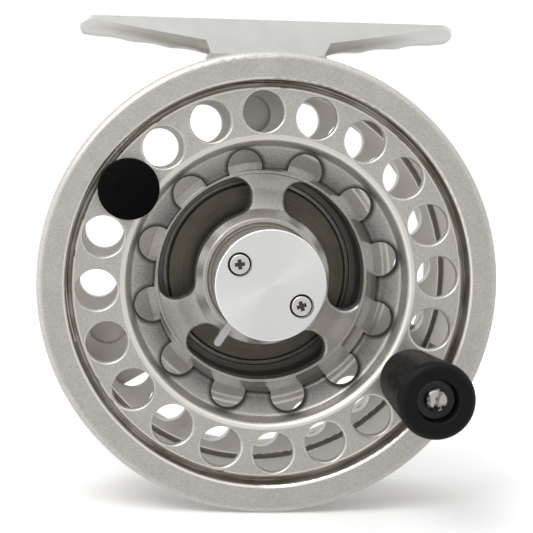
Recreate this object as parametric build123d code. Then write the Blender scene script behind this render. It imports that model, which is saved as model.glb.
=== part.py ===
"""Fly reel, built as separate pieces.

Working axes while building, in millimetres:
  the reel's own axis is the Y axis, the front face of the frame's ring is y = 0,
  +Y runs towards the back of the reel, +X to the right seen from the front, +Z up to the foot.
Every piece is moved as it is saved, so that the origin is the middle of the foot's rod seat.
"""

from build123d import *
from math import cos, radians, sin
import os

os.makedirs("parts", exist_ok=True)

# ---------------------------------------------------------------- driving dimensions
RUNNING = 0.03                # radial clearance of a turning fit
SLIP = 0.05                   # gap left beside sliding faces

# frame
RING_OUTER_R = 41.0
RING_INNER_R = 36.0
RING_DEPTH = 5.5
PILLAR_INNER_R = 36.9
PILLAR_OUTER_R = 40.6
PILLAR_ANGLES = (210.0, 330.0)
PILLAR_HALF_ANGLE = 9.0
TOP_PILLAR_HALF_ANGLE = 15.5
REAR_RIM_FRONT = 22.4         # the rear rim reaches forward round the spool's rear flange
REAR_RIM_INNER_R = 36.65
PLATE_FRONT = 25.6
PLATE_BACK = 29.0
PLATE_RIM_INNER_R = 34.2
PLATE_HUB_R = 22.0
SPOKE_WIDTH = 14.0
CUP_OUTER_R = 17.4
CUP_INNER_R = 16.0
CUP_RIM = 24.0
CUP_FLOOR = 31.2
CUP_BACK = 33.2

# foot
FOOT_SEAT_Z = 45.8            # lowest line of the saddle that the rod lies in
FOOT_TOP_Z = 47.5
FOOT_HALF_LENGTH = 34.5
FOOT_MID_Y = 17.4
FOOT_WIDTH = 12.0
STEM_HALF_WIDTH = 10.3
STEM_FLARE = 1.2              # the stem is this much wider each side where it meets the wings
STEM_FOOT_Z = 41.05           # just clear of the rear rim, which passes under the foot
WING_ROOT_X = 8.4
WING_EDGE_ROOT_Z = 43.0       # lower edge of the wing's straight side, at the root and the tip
WING_EDGE_TIP_Z = 47.1
WING_BELLY_ROOT_Z = 41.1      # lowest line of its rounded belly
WING_BELLY_TIP_Z = 44.5
SCALLOP_R = 12.0
SCALLOP_DEPTH = 0.3
ROD_SEAT_R = 12.0
FOOT_SCREW_X = 5.5
FOOT_SCREW_HEAD_R = 2.4
FOOT_SCREW_HEAD_Z = 37.2
FOOT_SCREW_SHOULDER_Z = 38.4
FOOT_SCREW_R = 1.5
FOOT_SCREW_END_Z = 43.6

# spool
FACE_Y = 2.0
FACE_R = 35.0
FLANGE_R = 35.7
FLANGE_THICK = 1.6
PORT_EDGE_RADIUS = 0.4
PORT_COUNT = 20
PORT_CIRCLE_R = 30.5
PORT_R = 3.66
KNOB_ANGLE = -33.0
RIDGE_R = 25.4
DISH_Y = 4.6
DISH_HOLE_COUNT = 12
DISH_HOLE_CIRCLE_R = 21.0
DISH_HOLE_R = 3.1
FINGER_INNER_R = 20.2
ARBOR_COLLAR_R = 21.4
ARBOR_R = 20.6
ARBOR_BORE_R = 19.2
ARBOR_FRONT = 14.0
REAR_FLANGE_R = 35.85
REAR_FLANGE_FRONT = 22.4
REAR_FLANGE_BACK = 24.8
WEB_Y = 13.6
WEB_BACK = 16.2
WINDOW_INNER_R = 12.5
WINDOW_SPOKE_WIDTH = 6.2
WINDOW_CORNER_R = 3.0
WINDOW_EDGE_RADIUS = 0.6
BOSS_R = 10.5
BOSS_Y = 10.3
HOUSING_R = 9.6
HUB_TUBE_R = 8.0
HUB_TUBE_BACK = 21.6

# latch, cap and their screws
CAP_R = 9.9
CAP_THICK = 1.7
CAP_SCREW_CIRCLE_R = 6.6
CROSS_WIDTH = 0.7             # cross recess of the cap's screws and of the drag knob's
CROSS_DEPTH = 0.55
LATCH_ANGLE = KNOB_ANGLE - 90.0
LEVER_FRONT = 0.2
LEVER_BACK = 1.4
LEVER_TIP_U = 14.3            # end of the tab, along the lever's own direction
LEVER_TAB_V = -1.8            # the tab stands this far to one side of the middle
LEVER_TAB_WIDTH = 1.35
LEVER_TRAVEL = 1.2
CLIP_WIRE_R = 0.35
CLIP_Y = 2.45

# spindle and drag
SPINDLE_R = 2.5
SPINDLE_GROOVE_R = 1.8
SPINDLE_TIP = 0.6
SPINDLE_END = 41.0
SLEEVE_R = 4.0
CLUTCH_R = 6.0
BUSH_R = 4.5
COVER_FRONT = 22.4
ROTOR_FRONT = 24.85
ROTOR_THICK = 1.5
ROTOR_R = 12.4
GEAR_TEETH = 30
GEAR_TIP_R = 13.4
GEAR_ROOT_R = 12.9
PAWL_ANGLE = 150.0
PAWL_PIVOT_R = 14.5
PAWL_BACK_R = 15.2
WASHER_THICK = 0.8
REAR_WASHER_FRONT = 26.55
PRESSURE_PLATE_THICK = 1.1
FLATS_HALF_WIDTH = 2.1
THRUST_LEG_CIRCLE_R = 8.0
THRUST_LEG_R = 1.1
THRUST_RING_BACK = 35.55
DRAG_KNOB_R = 12.5

# handle
HANDLE_BASE_R = 5.5
HANDLE_TIP_R = 6.6
HANDLE_BASE_Y = -0.25
HANDLE_TIP_Y = -20.8
HANDLE_PIN_R = 2.0
HANDLE_RECESS_R = 3.5
HANDLE_RECESS_DEPTH = 2.6
COUNTERWEIGHT_R = 5.4
COUNTERWEIGHT_CIRCLE_R = 30.0

FROM_AXIS_TO_SEAT = Pos(0, -FOOT_MID_Y, -FOOT_SEAT_Z)


# ---------------------------------------------------------------- helpers
def save(name, shape):
    """Write one piece, moved so that the foot's rod seat is the origin."""
    export_step(FROM_AXIS_TO_SEAT * Compound(children=list(shape.solids())), f"parts/{name}.step")


def rounded_outline(points):
    """Closed face in the XY plane; a point is (x, y) or (x, y, corner radius)."""
    edges = []
    ends = []
    count = len(points)
    for index, point in enumerate(points):
        here = Vector(point[0], point[1])
        if len(point) < 3:
            ends.append((here, here))
            continue
        before = Vector(*points[index - 1][:2]) - here
        after = Vector(*points[(index + 1) % count][:2]) - here
        half_angle = radians(before.get_angle(after)) / 2
        reach = point[2] / (sin(half_angle) / cos(half_angle))
        start = here + before.normalized() * reach
        stop = here + after.normalized() * reach
        bisector = (before.normalized() + after.normalized()).normalized()
        middle = here + bisector * (point[2] / sin(half_angle) - point[2])
        edges.append(ThreePointArc(start, middle, stop))
        ends.append((start, stop))
    for index in range(count):
        leave = ends[index][1]
        arrive = ends[(index + 1) % count][0]
        if (arrive - leave).length > 1e-6:
            edges.append(Line(leave, arrive))
    return make_face(Wire.combine(edges)[0])


def turned(points):
    """Solid turned about the reel's axis from (radius, y) points, corners rounded on request."""
    return revolve(rounded_outline(points), axis=Axis.Y)


def tube(outer_r, inner_r, y_from, y_to):
    """Plain ring or disc about the reel's axis."""
    return turned([(inner_r, y_from), (outer_r, y_from), (outer_r, y_to), (inner_r, y_to)])


def on_circle(radius, angle):
    """Point (x, z) at this radius and angle, anticlockwise from +X seen from the front."""
    return radius * cos(radians(angle)), radius * sin(radians(angle))


def post(radius, y_from, y_to, x=0.0, z=0.0):
    """Round bar parallel to the reel's axis."""
    bar = Cylinder(radius, y_to - y_from, align=(Align.CENTER, Align.CENTER, Align.MIN))
    return Pos(x, y_from, z) * Rot(-90, 0, 0) * bar


def posts(radius, y_from, y_to, circle_r, angles):
    """One round bar at each angle of a circle about the reel's axis."""
    bars = [post(radius, y_from, y_to, *on_circle(circle_r, angle)) for angle in angles]
    return Part() + bars


def plate(outline, y_from, y_to):
    """Flat outline drawn as seen from the front (x right, y up), given depth along the reel's axis."""
    return Pos(0, y_from, 0) * Rot(90, 0, 0) * extrude(outline, amount=y_from - y_to)


def spun(shape, angle):
    """Turn a shape about the reel's axis, anticlockwise seen from the front."""
    return Rot(0, -angle, 0) * shape


def sector(outer_r, inner_r, half_angle, y_from, y_to, angle):
    """Arc-shaped block centred on an angle."""
    reach = 2 * outer_r
    wedge = rounded_outline([
        (0, 0),
        (reach * cos(radians(half_angle)), -reach * sin(radians(half_angle))),
        (reach * cos(radians(half_angle)), reach * sin(radians(half_angle))),
    ])
    return spun(tube(outer_r, inner_r, y_from, y_to) & plate(wedge, y_from, y_to), angle)


def coned_washer(outer_r, inner_r, rim_y, crown_y, thickness):
    """Disc spring: the rim stands at rim_y and the inner edge at crown_y."""
    return turned([
        (inner_r, crown_y),
        (outer_r, rim_y),
        (outer_r, rim_y + thickness),
        (inner_r, crown_y + thickness),
    ])


def port_angles():
    """Angles of the round ports: the circle of positions without the knob's and the weight's."""
    pitch = 360 / PORT_COUNT
    return [KNOB_ANGLE + pitch * step for step in range(PORT_COUNT) if step not in (0, PORT_COUNT // 2)]


# ---------------------------------------------------------------- frame
def frame_front_ring():
    return turned([
        (RING_INNER_R, 0, 0.5),
        (RING_OUTER_R, 0, 1.3),
        (RING_OUTER_R, RING_DEPTH, 0.8),
        (RING_INNER_R, RING_DEPTH, 0.4),
    ])


def frame_pillars():
    side_posts = [
        sector(PILLAR_OUTER_R, PILLAR_INNER_R, PILLAR_HALF_ANGLE, RING_DEPTH, REAR_RIM_FRONT, angle)
        for angle in PILLAR_ANGLES
    ]
    top = sector(PILLAR_OUTER_R, PILLAR_INNER_R, TOP_PILLAR_HALF_ANGLE, RING_DEPTH, REAR_RIM_FRONT, 90)
    pad_low_z = PILLAR_INNER_R + 0.6
    pad_front = FOOT_MID_Y - FOOT_WIDTH / 2 - 0.5
    pad = Pos(0, (pad_front + REAR_RIM_FRONT) / 2, (pad_low_z + STEM_FOOT_Z) / 2) * Box(
        2 * STEM_HALF_WIDTH + 1.0, REAR_RIM_FRONT - pad_front, STEM_FOOT_Z - pad_low_z
    )
    top = top + pad
    top -= foot_screw_holes()
    return Part() + side_posts + top


def frame_back_plate():
    rim = turned([
        (PLATE_RIM_INNER_R, PLATE_FRONT, 0.3),
        (REAR_RIM_INNER_R, PLATE_FRONT),
        (REAR_RIM_INNER_R, REAR_RIM_FRONT, 0.3),
        (RING_OUTER_R, REAR_RIM_FRONT, 0.8),
        (RING_OUTER_R, PLATE_BACK, 1.3),
        (PLATE_RIM_INNER_R, PLATE_BACK, 0.4),
    ])
    hub = turned([
        (CUP_OUTER_R - 0.5, PLATE_FRONT),
        (PLATE_HUB_R, PLATE_FRONT, 0.3),
        (PLATE_HUB_R, PLATE_BACK, 0.6),
        (CUP_OUTER_R - 0.5, PLATE_BACK),
    ])
    spoke_length = PLATE_RIM_INNER_R + 1.0 - CUP_OUTER_R
    spoke = Pos(CUP_OUTER_R - 0.5 + spoke_length / 2, (PLATE_FRONT + PLATE_BACK) / 2, 0) * Box(
        spoke_length, PLATE_BACK - PLATE_FRONT, SPOKE_WIDTH
    )
    spokes = [spun(spoke, angle) for angle in (90.0,) + PILLAR_ANGLES]
    cup = turned([
        (CUP_INNER_R, CUP_RIM),
        (CUP_OUTER_R, CUP_RIM),
        (CUP_OUTER_R, CUP_BACK, 1.2),
        (3.0, CUP_BACK),
        (3.0, CUP_FLOOR),
        (CUP_INNER_R, CUP_FLOOR),
    ])
    leg_holes = posts(THRUST_LEG_R + 0.1, CUP_FLOOR - 1, CUP_BACK + 1, THRUST_LEG_CIRCLE_R, (30, 150, 270))
    return rim + hub + spokes + cup - leg_holes


# ---------------------------------------------------------------- foot
def wing_section(x, bottom_edge_z, belly_z):
    """Section across the foot at one x: square-sided at the top, rounded belly below."""
    half = FOOT_WIDTH / 2
    sides = Polyline((-half, bottom_edge_z), (-half, FOOT_TOP_Z), (half, FOOT_TOP_Z), (half, bottom_edge_z))
    belly = ThreePointArc((half, bottom_edge_z), (0, belly_z), (-half, bottom_edge_z))
    face = make_face([sides, belly])
    across = Plane(origin=(x, FOOT_MID_Y, 0), x_dir=(0, 1, 0), z_dir=(1, 0, 0))
    return across * face


def foot_wing():
    """Right-hand wing, from inside the stem out to the tip, with three shallow scallops in its belly."""
    root = wing_section(WING_ROOT_X, WING_EDGE_ROOT_Z, WING_BELLY_ROOT_Z)
    tip = wing_section(FOOT_HALF_LENGTH, WING_EDGE_TIP_Z, WING_BELLY_TIP_Z)
    wing = loft([root, tip], ruled=True)
    belly_slope = (WING_BELLY_TIP_Z - WING_BELLY_ROOT_Z) / (FOOT_HALF_LENGTH - WING_ROOT_X)
    for x in (16.0, 23.0, 30.0):
        belly_z = WING_BELLY_ROOT_Z + belly_slope * (x - WING_ROOT_X)
        scallop = Rot(90, 0, 0) * Cylinder(SCALLOP_R, FOOT_WIDTH + 2)
        wing -= Pos(x, FOOT_MID_Y, belly_z + SCALLOP_DEPTH - SCALLOP_R) * scallop
    return wing


def foot_side_outline():
    """The foot seen from the front, with rounded noses; only its ends cut the wings."""
    nose_z = WING_BELLY_TIP_Z - 0.05
    below = STEM_FOOT_Z - 1.0
    return rounded_outline([
        (-FOOT_HALF_LENGTH, FOOT_TOP_Z + 1), (-FOOT_HALF_LENGTH, nose_z, 1.2), (-WING_ROOT_X, below),
        (WING_ROOT_X, below), (FOOT_HALF_LENGTH, nose_z, 1.2), (FOOT_HALF_LENGTH, FOOT_TOP_Z + 1),
    ])


def reel_foot():
    wing = foot_wing()
    other_wing = mirror(wing, about=Plane.YZ)
    front_y = FOOT_MID_Y - FOOT_WIDTH / 2
    back_y = FOOT_MID_Y + FOOT_WIDTH / 2
    flared = STEM_HALF_WIDTH + STEM_FLARE
    stem = plate(rounded_outline([
        (-STEM_HALF_WIDTH, STEM_FOOT_Z), (STEM_HALF_WIDTH, STEM_FOOT_Z),
        (flared, WING_EDGE_ROOT_Z + 0.5), (flared, FOOT_TOP_Z),
        (-flared, FOOT_TOP_Z), (-flared, WING_EDGE_ROOT_Z + 0.5),
    ]), front_y, back_y)
    plan = Pos(0, FOOT_MID_Y, STEM_FOOT_Z - 2) * extrude(
        RectangleRounded(2 * FOOT_HALF_LENGTH, FOOT_WIDTH, 2.6), amount=FOOT_TOP_Z
    )
    side = plate(foot_side_outline(), front_y - 1, back_y + 1)
    rod = Pos(0, FOOT_MID_Y, FOOT_SEAT_Z + ROD_SEAT_R) * Rot(0, 90, 0) * Cylinder(ROD_SEAT_R, 80)
    foot = ((wing + other_wing + stem) & plan & side) - rod
    return foot - foot_screw_holes()


def foot_screw_bars(head_r, head_low_z):
    """Head and shaft of both foot screws as plain bars, for the screws and for their holes."""
    head = Cylinder(
        head_r, FOOT_SCREW_SHOULDER_Z - head_low_z, align=(Align.CENTER, Align.CENTER, Align.MIN)
    )
    shaft = Cylinder(
        FOOT_SCREW_R, FOOT_SCREW_END_Z - FOOT_SCREW_SHOULDER_Z,
        align=(Align.CENTER, Align.CENTER, Align.MIN),
    )
    bars = []
    for x in (-FOOT_SCREW_X, FOOT_SCREW_X):
        bars.append(Pos(x, FOOT_MID_Y, head_low_z) * head)
        bars.append(Pos(x, FOOT_MID_Y, FOOT_SCREW_SHOULDER_Z) * shaft)
    return Part() + bars


def foot_screw_holes():
    return foot_screw_bars(FOOT_SCREW_HEAD_R + 0.1, PILLAR_INNER_R - 2)


def foot_screws():
    socket = extrude(RegularPolygon(1.2, 6), amount=0.7, both=True)
    screws = foot_screw_bars(FOOT_SCREW_HEAD_R, FOOT_SCREW_HEAD_Z)
    for x in (-FOOT_SCREW_X, FOOT_SCREW_X):
        screws -= Pos(x, FOOT_MID_Y, FOOT_SCREW_HEAD_Z + 0.35) * socket
    return screws


# ---------------------------------------------------------------- spool
def spool_front_flange():
    back_y = FACE_Y + FLANGE_THICK
    dish_back = DISH_Y + FLANGE_THICK
    flange = turned([
        (FACE_R, FACE_Y, 0.45),
        (FACE_R, FACE_Y + 1.4),
        (FLANGE_R, FACE_Y + 1.4, 0.2),
        (FLANGE_R, FACE_Y + 3.0, 0.2),
        (FLANGE_R - 0.9, FACE_Y + 3.0, 0.2),
        (FLANGE_R - 0.9, back_y, 0.4),
        (RIDGE_R + 1.2, back_y, 0.8),
        (RIDGE_R + 0.2, dish_back, 0.8),
        (ARBOR_COLLAR_R, dish_back, 0.5),
        (ARBOR_COLLAR_R, ARBOR_FRONT),
        (FINGER_INNER_R, ARBOR_FRONT),
        (FINGER_INNER_R, DISH_Y + 0.4, 1.1),
        (RIDGE_R - 1.0, DISH_Y, 0.9),
        (RIDGE_R, FACE_Y, 1.4),
    ])
    flange -= posts(PORT_R, 0, 10, PORT_CIRCLE_R, port_angles())
    port_edges = [
        edge for edge in flange.edges().filter_by(GeomType.CIRCLE)
        if abs(edge.radius - PORT_R) < 0.01 and abs(edge.center().Y - FACE_Y) < 0.01
    ]
    flange = fillet(port_edges, PORT_EDGE_RADIUS)
    pitch = 360 / DISH_HOLE_COUNT
    dish_angles = [KNOB_ANGLE + pitch * (step + 0.5) for step in range(DISH_HOLE_COUNT)]
    dish_holes = posts(DISH_HOLE_R, 0, ARBOR_FRONT + 1, DISH_HOLE_CIRCLE_R, dish_angles)
    pin_hole = post(HANDLE_PIN_R, 0, 10, *on_circle(PORT_CIRCLE_R, KNOB_ANGLE))
    rivet_hole = post(1.6, 0, 10, *on_circle(COUNTERWEIGHT_CIRCLE_R, KNOB_ANGLE + 180))
    return flange - dish_holes - pin_hole - rivet_hole


def spool_arbor():
    return turned([
        (ARBOR_BORE_R + 0.1, WEB_Y, 0.15),
        (FINGER_INNER_R - 0.1, WEB_Y, 0.3),
        (FINGER_INNER_R - 0.1, ARBOR_FRONT),
        (ARBOR_COLLAR_R, ARBOR_FRONT),
        (ARBOR_COLLAR_R, ARBOR_FRONT + 1.0, 0.3),
        (ARBOR_R, ARBOR_FRONT + 1.8),
        (ARBOR_R, 18.0),
        (ARBOR_R + 0.5, 18.3),
        (ARBOR_R + 0.5, 19.2),
        (ARBOR_R, 19.5),
        (ARBOR_R, 23.0),
        (18.0, 23.0, 0.2),
        (18.0, 22.2, 0.2),
        (ARBOR_BORE_R, 22.2),
        (ARBOR_BORE_R, WEB_BACK),
        (ARBOR_BORE_R + 0.1, WEB_BACK),
    ])


def spool_rear_flange():
    rear_dish = REAR_FLANGE_FRONT - 1.8
    flange = turned([
        (ARBOR_R, rear_dish),
        (RIDGE_R - 1.0, rear_dish, 0.8),
        (RIDGE_R + 0.4, REAR_FLANGE_FRONT, 0.8),
        (REAR_FLANGE_R, REAR_FLANGE_FRONT, 0.4),
        (REAR_FLANGE_R, REAR_FLANGE_BACK, 0.5),
        (RIDGE_R - 0.4, REAR_FLANGE_BACK, 0.8),
        (RIDGE_R - 1.8, rear_dish + FLANGE_THICK, 0.8),
        (ARBOR_R, rear_dish + FLANGE_THICK),
    ])
    return flange - posts(PORT_R, 20, 26, PORT_CIRCLE_R, port_angles())


def hub_window():
    """One bean-shaped window, centred on +X, between two parallel-sided spokes."""
    half = WINDOW_SPOKE_WIDTH / 2
    outer_r = ARBOR_BORE_R
    outline = Circle(outer_r) - Circle(WINDOW_INNER_R)
    for angle in (60, -60):
        spoke = Rot(0, 0, angle) * Pos(20, 0) * Rectangle(40, 2 * half)
        outline -= spoke
    third = rounded_outline([(0, 0), (60, -60 * 3 ** 0.5), (60, 60 * 3 ** 0.5)])
    outline = outline & third
    return fillet(outline.vertices(), WINDOW_CORNER_R)


def spool_hub():
    hub = turned([
        (BUSH_R, 3.5),
        (2.8, 3.5),
        (2.8, 0),
        (HOUSING_R, 0, 0.3),
        (HOUSING_R, BOSS_Y + 0.9, 0.3),
        (HOUSING_R + 0.3, BOSS_Y + 0.9),
        (BOSS_R - 0.1, BOSS_Y, 0.15),
        (BOSS_R + 0.6, BOSS_Y, 0.4),
        (WINDOW_INNER_R + 0.3, BOSS_Y + 1.6, 1.0),
        (16.5, WEB_Y - 0.3, 4.0),
        (ARBOR_BORE_R + 0.1, WEB_Y),
        (ARBOR_BORE_R + 0.1, WEB_BACK),
        (HUB_TUBE_R, WEB_BACK, 0.8),
        (HUB_TUBE_R, HUB_TUBE_BACK, 0.4),
        (CLUTCH_R, HUB_TUBE_BACK),
        (CLUTCH_R, 13.2),
        (BUSH_R, 13.2),
    ])
    window = plate(hub_window(), 8, 18)
    for step in range(3):
        hub -= spun(window, KNOB_ANGLE + 60 + 120 * step)
    front_edges = [
        edge for edge in hub.edges()
        if BOSS_Y + 0.5 < edge.center().Y < WEB_Y + 0.3
        and edge.geom_type not in (GeomType.CIRCLE, GeomType.LINE)
    ]
    hub = fillet(front_edges, WINDOW_EDGE_RADIUS)
    hub -= latch_pocket()
    hub -= posts(1.0, -1, 6.0, CAP_SCREW_CIRCLE_R, (KNOB_ANGLE, KNOB_ANGLE + 180))
    return hub


def latch_pocket():
    """Hollow in the front of the housing for the lever, and a deeper one for its wire spring."""
    lever_room = Pos(-0.3, 0) * Rectangle(14.6, 8.2)
    tab_slot = Pos(9, LEVER_TAB_V) * Rectangle(6, LEVER_TAB_WIDTH + 0.2)
    upper = plate(lever_room, -1, LEVER_BACK + SLIP) + plate(tab_slot, -1, LEVER_BACK + SLIP)
    lower = plate(Pos(-0.2, 0) * Rectangle(13.6, 6.8), 0, CLIP_Y + CLIP_WIRE_R + 0.15)
    return spun(upper + lower, LATCH_ANGLE)


def release_lever():
    """Flat slide with a slot round the spindle, a wedge below and a thin tab that sticks out."""
    body = rounded_outline([
        (-6.2, -3.9, 0.5), (6.6, -3.9, 0.8), (6.6, 3.9, 0.8), (-6.2, 3.9, 0.5),
    ])
    slot = SlotOverall(2 * 2.8 + 2 * LEVER_TRAVEL, 2 * 2.8)
    tab_length = LEVER_TIP_U - 6.0
    tab = Pos(6.0 + tab_length / 2, LEVER_TAB_V) * Rectangle(tab_length, LEVER_TAB_WIDTH)
    tab = fillet(tab.vertices().sort_by(Axis.X)[-2:], LEVER_TAB_WIDTH / 2 - 0.02)
    flat = plate(body - slot + tab, LEVER_FRONT, LEVER_BACK)
    wedge = plate(
        rounded_outline([(4.4, -0.8, 0.2), (4.4, 0.8, 0.2), (6.2, 1.6, 0.2), (6.2, -1.6, 0.2)]),
        LEVER_BACK, CLIP_Y + 0.3,
    )
    return spun(flat + wedge, LATCH_ANGLE)


def latch_spring():
    """Hairpin wire clip whose legs lie in the spindle's groove."""
    leg_v = SPINDLE_GROOVE_R + CLIP_WIRE_R + 0.03
    bend_u = -4.2
    end_u = 5.6
    path = Wire.combine([
        Line((end_u, leg_v + 0.5), (3.6, leg_v)),
        Line((3.6, leg_v), (bend_u, leg_v)),
        ThreePointArc((bend_u, leg_v), (bend_u - leg_v, 0), (bend_u, -leg_v)),
        Line((bend_u, -leg_v), (3.6, -leg_v)),
        Line((3.6, -leg_v), (end_u, -leg_v - 0.5)),
    ])[0]
    start = Plane(origin=path @ 0, z_dir=path % 0)
    wire = sweep(start * Circle(CLIP_WIRE_R), path=path, transition=Transition.ROUND)
    return spun(Pos(0, CLIP_Y, 0) * Rot(90, 0, 0) * wire, LATCH_ANGLE)


def hub_cap():
    cap = turned([(0, -CAP_THICK), (CAP_R, -CAP_THICK, 0.3), (CAP_R, 0, 0.15), (0, 0)])
    screw_angles = (KNOB_ANGLE, KNOB_ANGLE + 180)
    counterbores = posts(2.15, -CAP_THICK - 1, -CAP_THICK + 1.0, CAP_SCREW_CIRCLE_R, screw_angles)
    holes = posts(1.1, -CAP_THICK - 1, 1, CAP_SCREW_CIRCLE_R, screw_angles)
    return cap - counterbores - holes


def cross_head_screw(x, z, head_front, head_back, end, head_r, shaft_r, turn):
    """Screw parallel to the reel's axis with a cross recess in its head."""
    head = post(head_r, head_front, head_back, x, z)
    head = fillet(head.edges().filter_by(GeomType.CIRCLE).sort_by(Axis.Y)[0], 0.25)
    shaft = post(shaft_r, head_back, end, x, z)
    reach = head_r
    cross = plate(
        Rectangle(reach, CROSS_WIDTH) + Rectangle(CROSS_WIDTH, reach),
        head_front - 1, head_front + CROSS_DEPTH,
    )
    return head + shaft - Pos(x, 0, z) * spun(cross, turn)


def cap_screws():
    screws = []
    for angle, turn in ((KNOB_ANGLE, 20.0), (KNOB_ANGLE + 180, 8.0)):
        x, z = on_circle(CAP_SCREW_CIRCLE_R, angle)
        screws.append(cross_head_screw(x, z, -CAP_THICK + 0.1, -CAP_THICK + 1.0, 5.5, 1.78, 1.0, turn))
    return Part() + screws


def hub_bush():
    return tube(BUSH_R, SPINDLE_R + RUNNING, 3.6, 11.4)


def one_way_clutch():
    return turned([
        (SLEEVE_R + RUNNING, 13.4, 0.2),
        (CLUTCH_R, 13.4, 0.3),
        (CLUTCH_R, 21.4, 0.3),
        (SLEEVE_R + RUNNING, 21.4, 0.2),
    ])


# ---------------------------------------------------------------- handle and counterweight
def handle_spindle():
    """Pin riveted through the front flange, with a collar that spaces the knob off the face."""
    x, z = on_circle(PORT_CIRCLE_R, KNOB_ANGLE)
    pin = post(HANDLE_PIN_R, HANDLE_TIP_Y + HANDLE_RECESS_DEPTH + 0.1, FACE_Y + FLANGE_THICK, x, z)
    collar = post(4.4, HANDLE_BASE_Y + 0.1, FACE_Y, x, z)
    rivet = post(2.9, FACE_Y + FLANGE_THICK, FACE_Y + FLANGE_THICK + 0.7, x, z)
    thread = post(1.0, HANDLE_TIP_Y, -12.0, x, z)
    return pin + collar + rivet - thread


def handle_knob():
    x, z = on_circle(PORT_CIRCLE_R, KNOB_ANGLE)
    floor_y = HANDLE_TIP_Y + HANDLE_RECESS_DEPTH
    knob = turned([
        (HANDLE_PIN_R + RUNNING, HANDLE_BASE_Y),
        (HANDLE_BASE_R, HANDLE_BASE_Y, 0.5),
        (HANDLE_TIP_R, HANDLE_TIP_Y, 1.4),
        (HANDLE_RECESS_R, HANDLE_TIP_Y, 0.4),
        (HANDLE_RECESS_R, floor_y),
        (HANDLE_PIN_R + RUNNING, floor_y),
    ])
    return Pos(x, 0, z) * knob


def handle_washer():
    x, z = on_circle(PORT_CIRCLE_R, KNOB_ANGLE)
    floor_y = HANDLE_TIP_Y + HANDLE_RECESS_DEPTH
    return Pos(x, 0, z) * tube(3.2, 1.05, floor_y - 0.5, floor_y - 0.1)


def handle_screw():
    """Slotted screw in the knob's end; its shaft is threaded into the spindle."""
    x, z = on_circle(PORT_CIRCLE_R, KNOB_ANGLE)
    seat_y = HANDLE_TIP_Y + HANDLE_RECESS_DEPTH - 0.5
    head = Pos(x, 0, z) * turned([(0, seat_y - 1.2), (1.9, seat_y - 1.2, 0.5), (1.9, seat_y), (0, seat_y)])
    shaft = post(1.0, seat_y, -12.5, x, z)
    slot = Pos(x, seat_y - 1.2, z) * Rot(0, 12, 0) * Box(0.6, 1.2, 5)
    return head + shaft - slot


def counterweight():
    x, z = on_circle(COUNTERWEIGHT_CIRCLE_R, KNOB_ANGLE + 180)
    weight = turned([
        (0, FACE_Y - 4.2), (2.5, FACE_Y - 4.1), (COUNTERWEIGHT_R, FACE_Y - 3.3, 0.7),
        (COUNTERWEIGHT_R, FACE_Y), (1.6, FACE_Y), (1.6, FACE_Y - 2.2), (0, FACE_Y - 2.2),
    ])
    return Pos(x, 0, z) * weight


def counterweight_rivet():
    x, z = on_circle(COUNTERWEIGHT_CIRCLE_R, KNOB_ANGLE + 180)
    back_y = FACE_Y + FLANGE_THICK
    return post(1.6, FACE_Y - 2.2, back_y, x, z) + post(2.6, back_y, back_y + 0.7, x, z)


# ---------------------------------------------------------------- spindle and drag
def main_spindle():
    shaft = turned([
        (0, SPINDLE_TIP),
        (SPINDLE_R, SPINDLE_TIP, 0.4),
        (SPINDLE_R, CLIP_Y - 0.4),
        (SPINDLE_GROOVE_R, CLIP_Y - 0.4),
        (SPINDLE_GROOVE_R, CLIP_Y + 0.4),
        (SPINDLE_R, CLIP_Y + 0.4),
        (SPINDLE_R, 11.8),
        (2.1, 11.8),
        (2.1, 12.2),
        (SPINDLE_R, 12.2),
        (SPINDLE_R, 30.65),
        (4.6, 30.65),
        (4.6, CUP_FLOOR),
        (3.0, CUP_FLOOR),
        (3.0, 35.0),
        (SPINDLE_R, 35.0),
        (SPINDLE_R, SPINDLE_END),
        (0, SPINDLE_END),
    ])
    flats_middle = (REAR_WASHER_FRONT + 30.0) / 2
    flats_length = 30.0 - REAR_WASHER_FRONT
    for side in (-1, 1):
        shaft -= Pos(side * (FLATS_HALF_WIDTH + 2), flats_middle, 0) * Box(4, flats_length, 8)
    return shaft - post(1.0, SPINDLE_END - 6, SPINDLE_END + 1)


def spindle_nut():
    nut = plate(RegularPolygon(4.6, 6, major_radius=False), CUP_BACK, 35.0)
    return nut - post(3.0, 30, 36)


def spindle_circlip():
    ring = tube(3.7, 2.12, 11.85, 12.15)
    return ring - Pos(0, 12, -3.5) * Box(1.6, 2, 4)


def drag_cover():
    return turned([
        (5.4, COVER_FRONT, 0.2),
        (CUP_OUTER_R, COVER_FRONT, 0.5),
        (CUP_OUTER_R, CUP_RIM),
        (CUP_INNER_R, CUP_RIM),
        (CUP_INNER_R, CUP_RIM + 0.7),
        (CUP_INNER_R - 1.1, CUP_RIM + 0.7),
        (CUP_INNER_R - 1.1, CUP_RIM),
        (5.4, CUP_RIM),
    ])


def sleeve_seal():
    return turned([
        (SLEEVE_R + SLIP, 22.7, 0.2), (5.4, 22.7), (5.4, 23.8), (SLEEVE_R + SLIP, 23.8, 0.2),
    ])


def drag_washer_front():
    return tube(ROTOR_R - 0.2, 5.6, CUP_RIM, CUP_RIM + WASHER_THICK)


def drag_rotor():
    back = ROTOR_FRONT + ROTOR_THICK
    return turned([
        (SPINDLE_R + RUNNING, 12.5),
        (SLEEVE_R, 12.5, 0.4),
        (SLEEVE_R, ROTOR_FRONT),
        (ROTOR_R, ROTOR_FRONT),
        (ROTOR_R, back),
        (SPINDLE_R + RUNNING, back),
    ])


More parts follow.
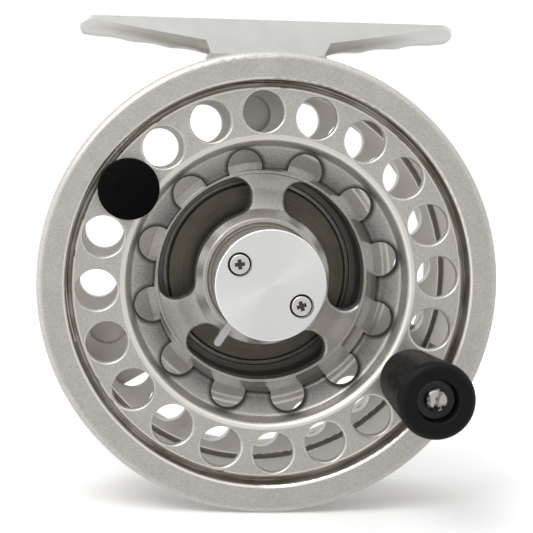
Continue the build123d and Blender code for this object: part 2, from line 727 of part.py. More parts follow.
def click_gear():
    """Toothed ring pressed on the rotor's rim."""
    corners = []
    outline = ((0.0, GEAR_ROOT_R), (0.25, GEAR_ROOT_R), (0.45, GEAR_TIP_R), (0.8, GEAR_TIP_R))
    for tooth in range(GEAR_TEETH):
        for share, radius in outline:
            corners.append(on_circle(radius, 360 * (tooth + share) / GEAR_TEETH))
    profile = make_face(Polyline(*corners, close=True))
    teeth = plate(profile, ROTOR_FRONT + 0.1, ROTOR_FRONT + ROTOR_THICK - 0.1)
    return teeth - post(ROTOR_R, 24, 28)


def click_pawl():
    """Pointed rocker whose nose just clears the gear's teeth at rest."""
    nose_x = GEAR_TIP_R + 0.05
    body = Pos(PAWL_PIVOT_R, 0) * Circle(0.9)
    nose = rounded_outline([
        (PAWL_PIVOT_R, 0.85), (nose_x, 0.1), (nose_x, -0.1), (PAWL_PIVOT_R, -0.85),
    ])
    flat_back = Pos(PAWL_BACK_R + 1, 0) * Rectangle(2, 4)
    outline = body + nose - flat_back - Pos(PAWL_PIVOT_R, 0) * Circle(0.5 + RUNNING)
    return spun(plate(outline, ROTOR_FRONT + 0.15, ROTOR_FRONT + 1.35), PAWL_ANGLE)


def pawl_pin():
    x, z = on_circle(PAWL_PIVOT_R, PAWL_ANGLE)
    foot = post(1.1, ROTOR_FRONT + 1.5, CUP_FLOOR, x, z)
    return post(0.5, ROTOR_FRONT + 0.1, ROTOR_FRONT + 1.5, x, z) + foot


def click_spring():
    """Leaf along the cup's wall that lies on the pawl's flat back, with a foot block in the cup."""
    leaf_r = PAWL_BACK_R + 0.03
    leaf_front = ROTOR_FRONT + 0.3
    leaf = sector(leaf_r + 0.25, leaf_r, 11, leaf_front, leaf_front + 1.0, PAWL_ANGLE - 7)
    block = sector(CUP_INNER_R - 0.05, leaf_r + 0.2, 2, leaf_front, CUP_FLOOR, PAWL_ANGLE - 16)
    return leaf + block


def drag_washer_rear():
    return tube(ROTOR_R - 0.2, 5.6, REAR_WASHER_FRONT, REAR_WASHER_FRONT + WASHER_THICK)


def pressure_plate():
    front = REAR_WASHER_FRONT + WASHER_THICK
    disc = post(ROTOR_R - 0.2, front, front + PRESSURE_PLATE_THICK)
    bore = Circle(SPINDLE_R + SLIP) & Rectangle(2 * (FLATS_HALF_WIDTH + SLIP), 8)
    return disc - plate(bore, front - 1, front + PRESSURE_PLATE_THICK + 1)


def drag_spring():
    """Two disc springs standing rim to rim."""
    start = REAR_WASHER_FRONT + WASHER_THICK + PRESSURE_PLATE_THICK
    first = coned_washer(9.0, 3.2, start + 0.35, start, 0.4)
    second = coned_washer(9.0, 3.2, start + 0.75, start + 1.1, 0.4)
    return Part() + [first, second]


def drag_thrust_ring():
    """Spring seat inside the cup, three legs through its floor and a ring behind it."""
    seat_front = REAR_WASHER_FRONT + WASHER_THICK + PRESSURE_PLATE_THICK + 1.5
    seat = tube(9.4, SPINDLE_R + 0.1, seat_front, seat_front + 0.5)
    legs = posts(THRUST_LEG_R, seat_front + 0.5, 34.2, THRUST_LEG_CIRCLE_R, (30, 150, 270))
    ring = tube(9.4, 6.6, 34.2, THRUST_RING_BACK)
    return seat + legs + ring


def drag_knob():
    """Adjuster at the back with a fluted grip and a skirt round the thrust ring."""
    front = THRUST_RING_BACK + SLIP
    body = turned([
        (SPINDLE_R + SLIP, front),
        (10.2, front),
        (10.2, 34.0),
        (DRAG_KNOB_R, 34.0, 0.4),
        (DRAG_KNOB_R, 42.6, 1.2),
        (4.0, 42.6, 0.3),
        (4.0, 40.3),
        (SPINDLE_R + SLIP, 40.3),
    ])
    flute_angles = [360 * step / 16 for step in range(16)]
    flutes = posts(1.3, 33, 44, DRAG_KNOB_R + 0.6, flute_angles)
    return body - flutes


def drag_knob_screw():
    """Stop screw in the spindle's back end, drawn facing forwards and then mirrored."""
    screw = cross_head_screw(0, 0, -SPINDLE_END - 1.2, -SPINDLE_END, 5.5 - SPINDLE_END, 3.2, 1.0, 0)
    return mirror(screw, about=Plane.XZ)


PIECES = {
    "frame_front_ring": frame_front_ring,
    "frame_pillars": frame_pillars,
    "frame_back_plate": frame_back_plate,
    "reel_foot": reel_foot,
    "foot_screws": foot_screws,
    "spool_front_flange": spool_front_flange,
    "spool_arbor": spool_arbor,
    "spool_rear_flange": spool_rear_flange,
    "spool_hub": spool_hub,
    "release_lever": release_lever,
    "latch_spring": latch_spring,
    "hub_cap": hub_cap,
    "cap_screws": cap_screws,
    "hub_bush": hub_bush,
    "one_way_clutch": one_way_clutch,
    "handle_spindle": handle_spindle,
    "handle_knob": handle_knob,
    "handle_washer": handle_washer,
    "handle_screw": handle_screw,
    "counterweight": counterweight,
    "counterweight_rivet": counterweight_rivet,
    "main_spindle": main_spindle,
    "spindle_nut": spindle_nut,
    "spindle_circlip": spindle_circlip,
    "drag_cover": drag_cover,
    "sleeve_seal": sleeve_seal,
    "drag_washer_front": drag_washer_front,
    "drag_rotor": drag_rotor,
    "click_gear": click_gear,
    "click_pawl": click_pawl,
    "pawl_pin": pawl_pin,
    "click_spring": click_spring,
    "drag_washer_rear": drag_washer_rear,
    "pressure_plate": pressure_plate,
    "drag_spring": drag_spring,
    "drag_thrust_ring": drag_thrust_ring,
    "drag_knob": drag_knob,
    "drag_knob_screw": drag_knob_screw,
}

for piece_name, build_piece in PIECES.items():
    save(piece_name, build_piece())
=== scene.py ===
"""Studio picture of the fly reel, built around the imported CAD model.

Everything is in metres, in the CAD model's own frame: the rod seat is the origin, +Z is up,
the reel's axis runs along Y and its front looks towards -Y.
"""

import math

import bpy
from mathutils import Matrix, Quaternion, Vector


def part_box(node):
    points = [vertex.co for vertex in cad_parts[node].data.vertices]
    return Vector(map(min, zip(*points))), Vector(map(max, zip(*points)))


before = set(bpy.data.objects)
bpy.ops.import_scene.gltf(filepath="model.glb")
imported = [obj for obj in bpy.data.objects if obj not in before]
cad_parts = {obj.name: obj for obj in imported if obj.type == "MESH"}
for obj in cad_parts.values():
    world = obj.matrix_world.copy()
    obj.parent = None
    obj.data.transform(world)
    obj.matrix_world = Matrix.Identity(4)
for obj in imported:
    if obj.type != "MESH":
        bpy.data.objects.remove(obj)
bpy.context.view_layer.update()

MM = 0.001

# ---------------------------------------------------------------- places taken from the frame
RING_LOW, RING_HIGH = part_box("frame_front_ring")
AXIS_X = (RING_LOW.x + RING_HIGH.x) / 2
AXIS_Z = (RING_LOW.z + RING_HIGH.z) / 2
FRONT_Y = RING_LOW.y
FLOOR_Z = RING_LOW.z
RING_OUTER_R = (RING_HIGH.x - RING_LOW.x) / 2
KNOB_LOW, KNOB_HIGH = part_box("handle_knob")
KNOB_ANGLE = math.atan2((KNOB_LOW.z + KNOB_HIGH.z) / 2 - AXIS_Z, (KNOB_LOW.x + KNOB_HIGH.x) / 2 - AXIS_X)

# ---------------------------------------------------------------- sizes that the CAD model has
RING_INNER_R = 36.0 * MM
FACE_R = 35.0 * MM
RIDGE_R = 25.4 * MM
BORE_R = 19.3 * MM                     # where the hub's disc meets the arbor
SCREW_HEAD_R = 1.78 * MM
PORT_COUNT = 20
PORT_CIRCLE_R = 30.5 * MM
PORT_R = 3.66 * MM
DISH_HOLE_COUNT = 12
DISH_HOLE_CIRCLE_R = 21.0 * MM
DISH_HOLE_R = 3.1 * MM
FACE_DEPTH = 2.0 * MM                  # the spool's face, behind the ring's front face

# ---------------------------------------------------------------- where the lacquer changes
GAP_DEPTHS = (0.7 * MM, 5.4 * MM)      # these five are from and to, behind the ring's front face
DISH_DEPTHS = (FACE_DEPTH, 6.0 * MM)
DISH_HOLE_DEPTHS = (3.6 * MM, 6.0 * MM)
BORE_DEPTHS = (16.3 * MM, 24.0 * MM)
REAR_DEPTHS = (20.0 * MM, 26.0 * MM)
LACQUER = (0.56, 0.535, 0.50)
# painted shade with dirt round the dish holes
HOLE_GRIME_AND_SHADE = (0.05, 0.045, 0.04)
GAP_BROWN = (0.27, 0.225, 0.18)
# painted shade down in the bore
BORE_SHADE = (0.165, 0.155, 0.143)

# ---------------------------------------------------------------- camera and light
CAMERA_YAW = math.radians(4.17)        # stands to the left and looks to the right
CAMERA_DROP = math.radians(3.23)       # looks down
CAMERA_ROLL = math.radians(1.29)       # turned anticlockwise about the line of sight
CAMERA_DISTANCE = 227.1 * MM           # from the ring's front plane, along the line of sight
AIM_OFFSET_X = -10.2 * MM              # where the line of sight meets that plane, from the axis
AIM_OFFSET_Z = 10.8 * MM
LENS = 87.5
SHIFT_X = 0.0993                       # part of the photograph's off-centre framing
SHIFT_Y = -0.083
KEY_PLACE = (-0.30, -0.35, 0.50)
KEY_SIZE = (0.4, 0.4)
KEY_POWER = 2.2                        # watts
TENT_SIDES = 1.15                      # world light at the sides, above and below
TENT_ENDS = 0.735                      # world light in front and behind
TENT_FADE = (0.55, 0.93)               # along the reel's axis, where the one gives way to the other
TILT_REACH = 1.4                       # about the most that a direction's Z less its X can be
TILT_DARK = 0.7                        # times the world light, on the side away from the key
TILT_BRIGHT = 1.2                      # times the world light, on the key's side
BACKDROP = 1.1                         # world as the camera itself sees it
FLOOR_REACH = 6.0


# ---------------------------------------------------------------- material helpers
class Finish:
    """A material under construction: one Principled shader and the nodes that feed it."""

    def __init__(self, name, color, metallic, roughness):
        self.material = bpy.data.materials.new(name)
        self.material.use_nodes = True
        self.tree = self.material.node_tree
        self.shader = self.tree.nodes["Principled BSDF"]
        self.shader.inputs["Base Color"].default_value = (*color, 1.0)
        self.shader.inputs["Metallic"].default_value = metallic
        self.shader.inputs["Roughness"].default_value = roughness
        self.coords = self.tree.nodes.new("ShaderNodeTexCoord").outputs["Object"]

    def node(self, kind, **settings):
        made = self.tree.nodes.new(kind)
        for key, value in settings.items():
            setattr(made, key, value)
        return made

    def join(self, output, target):
        self.tree.links.new(output, target)

    def math(self, operation, first, second=None):
        made = self.node("ShaderNodeMath", operation=operation)
        for socket, value in zip(made.inputs, (first, second)):
            if isinstance(value, (int, float)):
                socket.default_value = value
            elif value is not None:
                self.join(value, socket)
        return made.outputs["Value"]

    def noise(self, feature_size, detail=2.0, roughness=0.5, coords=None):
        """Noise whose features are about this many metres across."""
        made = self.node("ShaderNodeTexNoise")
        made.inputs["Scale"].default_value = 1.0 / feature_size
        made.inputs["Detail"].default_value = detail
        made.inputs["Roughness"].default_value = roughness
        self.join(coords or self.coords, made.inputs["Vector"])
        return made.outputs["Fac"]

    def flakes(self, flake_size):
        """One random value per flake of this size."""
        made = self.node("ShaderNodeTexVoronoi", feature="F1")
        made.inputs["Scale"].default_value = 1.0 / flake_size
        self.join(self.coords, made.inputs["Vector"])
        split = self.node("ShaderNodeSeparateColor")
        self.join(made.outputs["Color"], split.inputs["Color"])
        return split.outputs["Red"]

    def ramp(self, value, low, high, low_in=0.3, high_in=0.7):
        made = self.node("ShaderNodeMapRange")
        made.inputs["From Min"].default_value = low_in
        made.inputs["From Max"].default_value = high_in
        made.inputs["To Min"].default_value = low
        made.inputs["To Max"].default_value = high
        self.join(value, made.inputs["Value"])
        return made.outputs["Result"]

    def mix(self, factor, first, second):
        """Colour between two colours; each is three numbers or a colour output."""
        made = self.node("ShaderNodeMix", data_type="RGBA")
        self.join(factor, made.inputs["Factor"])
        for socket, value in ((made.inputs[6], first), (made.inputs[7], second)):
            if isinstance(value, tuple):
                socket.default_value = (*value, 1.0)
            else:
                self.join(value, socket)
        return made.outputs[2]

    def radius(self, centre_x, centre_z):
        """Distance from a line parallel to the reel's axis."""
        split = self.node("ShaderNodeSeparateXYZ")
        self.join(self.coords, split.inputs["Vector"])
        across = self.math("SUBTRACT", split.outputs["X"], centre_x)
        up = self.math("SUBTRACT", split.outputs["Z"], centre_z)
        squares = self.math("ADD", self.math("MULTIPLY", across, across), self.math("MULTIPLY", up, up))
        return self.math("SQRT", squares)

    def hole_distance(self, circle_radius, count, first_angle):
        """Distance from the middle of the nearest of the holes on a circle about the reel's axis."""
        split = self.node("ShaderNodeSeparateXYZ")
        self.join(self.coords, split.inputs["Vector"])
        across = self.math("SUBTRACT", split.outputs["X"], AXIS_X)
        up = self.math("SUBTRACT", split.outputs["Z"], AXIS_Z)
        angle = self.math("SUBTRACT", self.math("ARCTAN2", up, across), first_angle)
        pitch = 2 * math.pi / count
        turns = self.math("MULTIPLY", angle, 1 / pitch)
        from_hole = self.math("SUBTRACT", turns, self.math("ROUND", turns))
        cosine = self.math("COSINE", self.math("MULTIPLY", from_hole, pitch))
        radius = self.radius(AXIS_X, AXIS_Z)
        squares = self.math("ADD", self.math("MULTIPLY", radius, radius), circle_radius ** 2)
        product = self.math("MULTIPLY", self.math("MULTIPLY", radius, cosine), 2 * circle_radius)
        return self.math("SQRT", self.math("ABSOLUTE", self.math("SUBTRACT", squares, product)))

    def depth(self):
        """Distance behind the ring's front face."""
        split = self.node("ShaderNodeSeparateXYZ")
        self.join(self.coords, split.inputs["Vector"])
        return self.math("SUBTRACT", split.outputs["Y"], FRONT_Y)

    def between(self, value, low, high):
        """One where the value lies between the two, zero elsewhere."""
        above = self.math("GREATER_THAN", value, low)
        below = self.math("LESS_THAN", value, high)
        return self.math("MULTIPLY", above, below)

    def color(self, output):
        self.join(output, self.shader.inputs["Base Color"])

    def roughness(self, output):
        self.join(output, self.shader.inputs["Roughness"])

    def bump(self, height, strength, distance):
        made = self.node("ShaderNodeBump")
        made.inputs["Strength"].default_value = strength
        made.inputs["Distance"].default_value = distance
        self.join(height, made.inputs["Height"])
        self.join(made.outputs["Normal"], self.shader.inputs["Normal"])


def scaled(color, factor):
    return tuple(channel * factor for channel in color)


# ---------------------------------------------------------------- materials
def lacquer_tone(finish):
    """Fine flakes over a soft cloudiness, from zero to one."""
    flakes = finish.flakes(0.22 * MM)
    cloud = finish.noise(6 * MM, detail=3)
    return finish.math("ADD", finish.math("MULTIPLY", flakes, 0.75), finish.math("MULTIPLY", cloud, 0.25))


def shaded_dish(finish, lacquer, tone):
    """Painted shade in the dish: dark by the hub and deep down, clearing towards the ridge."""
    radius = finish.radius(AXIS_X, AXIS_Z)
    depth = finish.depth()
    # painted shade: darker towards the hub and deeper down
    dish = finish.math(
        "MULTIPLY", finish.ramp(radius, 1.0, 0.0, BORE_R + 1.6 * MM, RIDGE_R + 0.1 * MM),
        finish.ramp(depth, 0.0, 1.0, 2.4 * MM, 4.0 * MM),
    )
    dish = finish.math("MULTIPLY", dish, finish.between(depth, *DISH_DEPTHS))
    dish = finish.math("MULTIPLY", dish, finish.between(radius, BORE_R + 0.4 * MM, RIDGE_R + 0.2 * MM))
    return finish.mix(dish, lacquer, finish.mix(tone, scaled(LACQUER, 0.2), scaled(LACQUER, 0.42)))


def shaded_grimy_dish_holes(finish, lacquer):
    """Painted shade, with dirt, in a dark ring round the half-open holes."""
    from_hole = finish.hole_distance(
        DISH_HOLE_CIRCLE_R, DISH_HOLE_COUNT, KNOB_ANGLE + math.pi / DISH_HOLE_COUNT
    )
    # painted shade with dirt: near-black just outside each hole, fading out within 0.9 mm
    dark_ring = finish.ramp(from_hole, 1.0, 0.0, DISH_HOLE_R + 0.15 * MM, DISH_HOLE_R + 0.9 * MM)
    near_dish = finish.math(
        "MULTIPLY", finish.between(finish.radius(AXIS_X, AXIS_Z), BORE_R + 0.8 * MM, RIDGE_R - 0.6 * MM),
        finish.between(finish.depth(), *DISH_HOLE_DEPTHS),
    )
    return finish.mix(finish.math("MULTIPLY", dark_ring, near_dish), lacquer, HOLE_GRIME_AND_SHADE)


def painted_edge_highlights(finish, lacquer):
    """Painted highlights on the ridge, the face's rim, the ports in patches and the ring's edge."""
    radius = finish.radius(AXIS_X, AXIS_Z)
    depth = finish.depth()
    ridge = finish.between(radius, RIDGE_R + 0.1 * MM, RIDGE_R + 1.0 * MM)
    rim = finish.between(radius, FACE_R - 0.55 * MM, FACE_R - 0.05 * MM)
    from_port = finish.hole_distance(PORT_CIRCLE_R, PORT_COUNT, KNOB_ANGLE)
    port_edge = finish.between(from_port, PORT_R - 0.05 * MM, PORT_R + 0.38 * MM)
    highlight_patches = finish.ramp(finish.noise(5 * MM, detail=3), 0.0, 0.6, 0.45, 0.62)
    edge_highlight = finish.math("ADD", finish.math("ADD", ridge, rim), finish.math("MULTIPLY", port_edge, highlight_patches))
    edge_highlight = finish.math("MULTIPLY", edge_highlight, finish.between(depth, FACE_DEPTH - 0.1 * MM, FACE_DEPTH + 0.9 * MM))
    ring_edge = finish.math(
        "MULTIPLY", finish.between(radius, RING_INNER_R, RING_INNER_R + 0.45 * MM),
        finish.between(depth, -0.1 * MM, 0.5 * MM),
    )
    edge_highlight = finish.math("MINIMUM", finish.math("ADD", edge_highlight, ring_edge), 1.0)
    # painted highlight: these edges at 1.45 times the lacquer
    return finish.mix(edge_highlight, lacquer, scaled(LACQUER, 1.45))


def darker_gap(finish, lacquer):
    """Darker brown, in patches, in the gap between the spool and the ring."""
    gap = finish.math(
        "MULTIPLY",
        finish.between(finish.radius(AXIS_X, AXIS_Z), FACE_R + 0.02 * MM, RING_INNER_R + 0.1 * MM),
        finish.between(finish.depth(), *GAP_DEPTHS),
    )
    gap_patches = finish.ramp(finish.noise(7 * MM, detail=4), 0.25, 0.9, 0.4, 0.6)
    return finish.mix(finish.math("MULTIPLY", gap, gap_patches), lacquer, GAP_BROWN)


def lit_rear(finish, lacquer):
    """Painted light on the rear flange and rim, seen through the ports: lighter than the front."""
    rear = finish.math(
        "MULTIPLY", finish.between(finish.radius(AXIS_X, AXIS_Z), RIDGE_R, RING_OUTER_R - 0.6 * MM),
        finish.between(finish.depth(), *REAR_DEPTHS),
    )
    # painted light: the rear at 1.2 times the lacquer
    return finish.mix(rear, lacquer, scaled(LACQUER, 1.2))


def shaded_bore(finish, lacquer):
    """Painted shade on the metal down in the middle, behind the hub's windows."""
    bore = finish.math(
        "MULTIPLY", finish.between(finish.radius(AXIS_X, AXIS_Z), 0.0, BORE_R + 0.1 * MM),
        finish.between(finish.depth(), *BORE_DEPTHS),
    )
    # painted shade: dark metal in the bore
    return finish.mix(bore, lacquer, BORE_SHADE)


def satin_silver():
    """Silver lacquer with fine flakes, with painted shade in the dish and the bore, painted shade and dirt
    round the dish holes, painted highlights on the edges, darker brown in the gap and painted light on the
    rear.
    """
    finish = Finish("satin_silver_lacquer", LACQUER, 0.9, 0.4)
    tone = lacquer_tone(finish)
    lacquer = finish.mix(tone, scaled(LACQUER, 0.86), scaled(LACQUER, 1.14))
    lacquer = shaded_dish(finish, lacquer, tone)
    lacquer = shaded_grimy_dish_holes(finish, lacquer)
    lacquer = painted_edge_highlights(finish, lacquer)
    lacquer = darker_gap(finish, lacquer)
    lacquer = lit_rear(finish, lacquer)
    finish.color(shaded_bore(finish, lacquer))
    finish.roughness(finish.ramp(finish.noise(3 * MM, detail=4), 0.34, 0.46))
    finish.bump(finish.noise(0.25 * MM, detail=2), 0.25, 0.03 * MM)
    return finish.material


def foot_silver():
    base = (0.80, 0.80, 0.77)
    finish = Finish("pale_satin_aluminium", base, 0.9, 0.35)
    cloud = finish.noise(5 * MM, detail=3)
    finish.color(finish.mix(cloud, scaled(base, 0.93), scaled(base, 1.07)))
    finish.roughness(finish.ramp(finish.noise(2 * MM, detail=4), 0.3, 0.42))
    finish.bump(finish.noise(0.3 * MM, detail=2), 0.15, 0.02 * MM)
    return finish.material


def bright_turned():
    """Face-turned aluminium with very fine rings about the cap's own centre."""
    low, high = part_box("hub_cap")
    screws_low, screws_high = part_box("cap_screws")
    base = (0.96, 0.955, 0.935)
    finish = Finish("turned_aluminium", base, 1.0, 0.3)
    finish.shader.inputs["Anisotropic"].default_value = 0.8
    from_middle = finish.radius((low.x + high.x) / 2, (low.z + high.z) / 2)
    rings = finish.math("MULTIPLY", from_middle, 1 / (0.12 * MM))
    line = finish.node("ShaderNodeTexNoise", noise_dimensions="1D")
    line.inputs["Scale"].default_value = 1.0
    line.inputs["Detail"].default_value = 2.0
    finish.join(rings, line.inputs["W"])
    turned = finish.mix(line.outputs["Fac"], scaled(base, 0.92), scaled(base, 1.06))
    for x, z in (
        (screws_low.x + SCREW_HEAD_R, screws_high.z - SCREW_HEAD_R),
        (screws_high.x - SCREW_HEAD_R, screws_low.z + SCREW_HEAD_R),
    ):
        # dirt and painted shade: a near-black ring round each screw, in its counterbore
        dark_ring = finish.between(finish.radius(x, z), 0.0, SCREW_HEAD_R + 0.33 * MM)
        turned = finish.mix(dark_ring, turned, (0.03, 0.028, 0.026))
    finish.color(turned)
    finish.bump(line.outputs["Fac"], 0.2, 0.01 * MM)
    tangent = finish.node("ShaderNodeTangent", direction_type="RADIAL", axis="Y")
    finish.join(tangent.outputs["Tangent"], finish.shader.inputs["Tangent"])
    return finish.material


def black_grip():
    base = (0.0035, 0.0033, 0.0032)
    finish = Finish("matte_black_grip", base, 0.0, 0.5)
    finish.shader.inputs["Specular IOR Level"].default_value = 0.15
    finish.color(finish.mix(finish.noise(3 * MM, detail=4), scaled(base, 0.7), scaled(base, 1.5)))
    finish.roughness(finish.ramp(finish.noise(1.5 * MM, detail=3), 0.42, 0.6))
    finish.bump(finish.noise(0.2 * MM, detail=2), 0.3, 0.03 * MM)
    return finish.material


def weight_black():
    """The counterweight, blacker and less glossy than the crank knob."""
    base = (0.0012, 0.0012, 0.0012)
    finish = Finish("counterweight_black", base, 0.0, 0.6)
    finish.shader.inputs["Specular IOR Level"].default_value = 0.05
    finish.color(finish.mix(finish.noise(2 * MM, detail=3), scaled(base, 0.7), scaled(base, 1.5)))
    finish.roughness(finish.ramp(finish.noise(1 * MM, detail=3), 0.5, 0.7))
    finish.bump(finish.noise(0.2 * MM, detail=2), 0.2, 0.02 * MM)
    return finish.material


def steel():
    base = (0.62, 0.61, 0.59)
    finish = Finish("bright_steel", base, 1.0, 0.25)
    finish.color(finish.mix(finish.noise(2 * MM, detail=3), scaled(base, 0.85), scaled(base, 1.1)))
    finish.roughness(finish.ramp(finish.noise(0.6 * MM, detail=3), 0.18, 0.34))
    finish.bump(finish.noise(0.3 * MM, detail=2), 0.1, 0.01 * MM)
    return finish.material


def screw_steel():
    """The cap's screws, bright on top of the head, with painted shade down in the cross recess."""
    base = (0.80, 0.78, 0.75)
    finish = Finish("screw_steel", base, 1.0, 0.3)
    low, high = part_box("cap_screws")
    head_front = low.y - FRONT_Y
    recess = finish.between(finish.depth(), head_front + 0.3 * MM, head_front + 2.0 * MM)
    bright = finish.mix(finish.noise(0.8 * MM, detail=3), scaled(base, 0.9), scaled(base, 1.1))
    # painted shade down in the cross recess
    finish.color(finish.mix(recess, bright, (0.10, 0.085, 0.07)))
    finish.roughness(finish.ramp(finish.noise(0.6 * MM, detail=3), 0.24, 0.4))
    finish.bump(finish.noise(0.3 * MM, detail=2), 0.1, 0.01 * MM)
    return finish.material


def patchy_dark_steel():
    """The screw in the knob's end, dark with lighter patches at random."""
    base = (0.30, 0.28, 0.26)
    finish = Finish("patchy_dark_steel", base, 0.9, 0.4)
    patches = finish.ramp(finish.noise(1.4 * MM, detail=3), 0.0, 1.0, 0.45, 0.58)
    finish.color(finish.mix(patches, (0.02, 0.024, 0.026), scaled(base, 1.9)))
    finish.roughness(finish.ramp(finish.noise(0.6 * MM, detail=3), 0.3, 0.5))
    finish.bump(finish.noise(0.4 * MM, detail=3), 0.3, 0.02 * MM)
    return finish.material


def dark_disc():
    base = (0.14, 0.125, 0.10)
    finish = Finish("dark_turned_disc", base, 0.9, 0.38)
    finish.shader.inputs["Anisotropic"].default_value = 0.8
    rings = finish.math("MULTIPLY", finish.radius(AXIS_X, AXIS_Z), 1 / (0.35 * MM))
    line = finish.node("ShaderNodeTexNoise", noise_dimensions="1D")
    line.inputs["Scale"].default_value = 1.0
    line.inputs["Detail"].default_value = 2.0
    finish.join(rings, line.inputs["W"])
    finish.color(finish.mix(line.outputs["Fac"], scaled(base, 0.75), scaled(base, 1.3)))
    finish.roughness(finish.ramp(finish.noise(2 * MM, detail=3), 0.32, 0.46))
    finish.bump(line.outputs["Fac"], 0.25, 0.02 * MM)
    tangent = finish.node("ShaderNodeTangent", direction_type="RADIAL", axis="Y")
    finish.join(tangent.outputs["Tangent"], finish.shader.inputs["Tangent"])
    return finish.material


def bronze():
    base = (0.55, 0.36, 0.17)
    finish = Finish("oiled_bronze", base, 1.0, 0.35)
    finish.color(finish.mix(finish.noise(2 * MM, detail=4), scaled(base, 0.75), scaled(base, 1.15)))
    finish.roughness(finish.ramp(finish.noise(1 * MM, detail=3), 0.28, 0.45))
    return finish.material


def seal_rubber():
    base = (0.018, 0.018, 0.018)
    finish = Finish("seal_rubber", base, 0.0, 0.6)
    finish.color(finish.mix(finish.noise(1 * MM, detail=3), scaled(base, 0.7), scaled(base, 1.5)))
    finish.bump(finish.noise(0.2 * MM), 0.2, 0.02 * MM)
    return finish.material


def friction():
    base = (0.035, 0.034, 0.036)
    finish = Finish("woven_friction_disc", base, 0.0, 0.55)
    finish.color(finish.mix(finish.flakes(0.5 * MM), scaled(base, 0.6), scaled(base, 1.6)))
    finish.bump(finish.noise(0.4 * MM, detail=3), 0.3, 0.05 * MM)
    return finish.material


def knob_silver():
    base = (0.58, 0.56, 0.53)
    finish = Finish("satin_knob_aluminium", base, 0.95, 0.36)
    finish.color(finish.mix(finish.noise(4 * MM, detail=3), scaled(base, 0.9), scaled(base, 1.08)))
    finish.roughness(finish.ramp(finish.noise(1.5 * MM, detail=4), 0.3, 0.42))
    finish.bump(finish.noise(0.25 * MM, detail=2), 0.15, 0.02 * MM)
    return finish.material


MATERIALS = {
    "satin_silver": satin_silver,
    "foot_silver": foot_silver,
    "bright_turned": bright_turned,
    "black_grip": black_grip,
    "steel": steel,
    "dark_disc": dark_disc,
    "bronze": bronze,
    "seal_rubber": seal_rubber,
    "friction": friction,
    "knob_silver": knob_silver,
}

OWN_FINISH = {
    "cap_screws": screw_steel,
    "handle_screw": patchy_dark_steel,
    "handle_washer": seal_rubber,
    "counterweight": weight_black,
}


def dress_nodes():
    """Give every CAD node the finish of its material slot, or its own where it has one."""
    made = {slot: make() for slot, make in MATERIALS.items()}
    own = {name: make() for name, make in OWN_FINISH.items()}
    for name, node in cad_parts.items():
        for material_slot in node.material_slots:
            slot_name = material_slot.material.name.split(".")[0]
            material_slot.material = own.get(name, made[slot_name])


# ---------------------------------------------------------------- stage
def make_camera():
    data = bpy.data.cameras.new("camera")
    data.lens = LENS
    data.shift_x = SHIFT_X
    data.shift_y = SHIFT_Y
    data.sensor_width = 36.0
    data.clip_start = 0.01
    data.clip_end = 20.0
    camera = bpy.data.objects.new("camera", data)
    bpy.context.scene.collection.objects.link(camera)
    sight = Vector((
        math.sin(CAMERA_YAW) * math.cos(CAMERA_DROP),
        math.cos(CAMERA_YAW) * math.cos(CAMERA_DROP),
        -math.sin(CAMERA_DROP),
    ))
    aim = Vector((AXIS_X + AIM_OFFSET_X, FRONT_Y, AXIS_Z + AIM_OFFSET_Z))
    camera.location = aim - sight * CAMERA_DISTANCE
    level = sight.to_track_quat("-Z", "Y")
    camera.rotation_euler = (level @ Quaternion((0, 0, 1), CAMERA_ROLL)).to_euler()
    bpy.context.scene.camera = camera


def area_light(name, place, size, power):
    """Soft panel that looks at the middle of the reel."""
    data = bpy.data.lights.new(name, "AREA")
    data.shape = "RECTANGLE"
    data.size, data.size_y = size
    data.energy = power
    light = bpy.data.objects.new(name, data)
    bpy.context.scene.collection.objects.link(light)
    light.location = place
    middle = Vector((AXIS_X, FRONT_Y, AXIS_Z))
    light.rotation_euler = (middle - light.location).to_track_quat("-Z", "Y").to_euler()


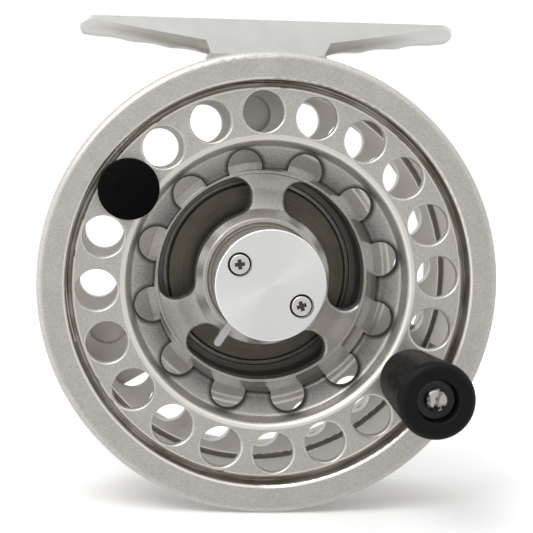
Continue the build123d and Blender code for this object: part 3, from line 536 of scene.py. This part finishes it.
def make_world():
    """White to the camera; to everything else a bright tent, dimmer in front, behind and off the key."""
    world = bpy.data.worlds.new("studio")
    world.use_nodes = True
    tree = world.node_tree
    background = tree.nodes["Background"]
    direction = tree.nodes.new("ShaderNodeTexCoord").outputs["Generated"]
    split = tree.nodes.new("ShaderNodeSeparateXYZ")
    tree.links.new(direction, split.inputs["Vector"])
    along = tree.nodes.new("ShaderNodeMath")
    along.operation = "ABSOLUTE"
    tree.links.new(split.outputs["Y"], along.inputs[0])
    tent = tree.nodes.new("ShaderNodeMapRange")
    tent.interpolation_type = "SMOOTHSTEP"
    tent.inputs["From Min"].default_value = TENT_FADE[0]
    tent.inputs["From Max"].default_value = TENT_FADE[1]
    tent.inputs["To Min"].default_value = TENT_SIDES
    tent.inputs["To Max"].default_value = TENT_ENDS
    tree.links.new(along.outputs["Value"], tent.inputs["Value"])
    tilt = tree.nodes.new("ShaderNodeMapRange")
    tilt.inputs["From Min"].default_value = -TILT_REACH
    tilt.inputs["From Max"].default_value = TILT_REACH
    tilt.inputs["To Min"].default_value = TILT_DARK
    tilt.inputs["To Max"].default_value = TILT_BRIGHT
    towards_key = tree.nodes.new("ShaderNodeMath")
    towards_key.operation = "SUBTRACT"
    tree.links.new(split.outputs["Z"], towards_key.inputs[0])
    tree.links.new(split.outputs["X"], towards_key.inputs[1])
    tree.links.new(towards_key.outputs["Value"], tilt.inputs["Value"])
    tone = tree.nodes.new("ShaderNodeMath")
    tone.operation = "MULTIPLY"
    tree.links.new(tent.outputs["Result"], tone.inputs[0])
    tree.links.new(tilt.outputs["Result"], tone.inputs[1])
    seen = tree.nodes.new("ShaderNodeLightPath")
    mix = tree.nodes.new("ShaderNodeMix")
    mix.data_type = "FLOAT"
    mix.inputs[3].default_value = BACKDROP
    tree.links.new(seen.outputs["Is Camera Ray"], mix.inputs["Factor"])
    tree.links.new(tone.outputs["Value"], mix.inputs[2])
    tree.links.new(mix.outputs[0], background.inputs["Strength"])
    background.inputs["Color"].default_value = (1.0, 1.0, 1.0, 1.0)
    bpy.context.scene.world = world


def make_floor():
    """Pale floor at the ring's lowest point, which glossy reflections don't see."""
    mesh = bpy.data.meshes.new("floor")
    corners = [(-1, -1), (1, -1), (1, 1), (-1, 1)]
    mesh.from_pydata([(x * FLOOR_REACH, y * FLOOR_REACH, FLOOR_Z) for x, y in corners], [], [(0, 1, 2, 3)])
    floor = bpy.data.objects.new("floor", mesh)
    bpy.context.scene.collection.objects.link(floor)
    finish = Finish("pale_floor", (0.95, 0.95, 0.95), 0.0, 0.9)
    finish.color(finish.mix(finish.noise(0.5), (0.94, 0.94, 0.94), (0.96, 0.96, 0.96)))
    mesh.materials.append(finish.material)
    floor.visible_glossy = False


dress_nodes()
make_camera()
make_world()
make_floor()
area_light("key", KEY_PLACE, KEY_SIZE, KEY_POWER)
bpy.context.scene.view_settings.view_transform = "Standard"
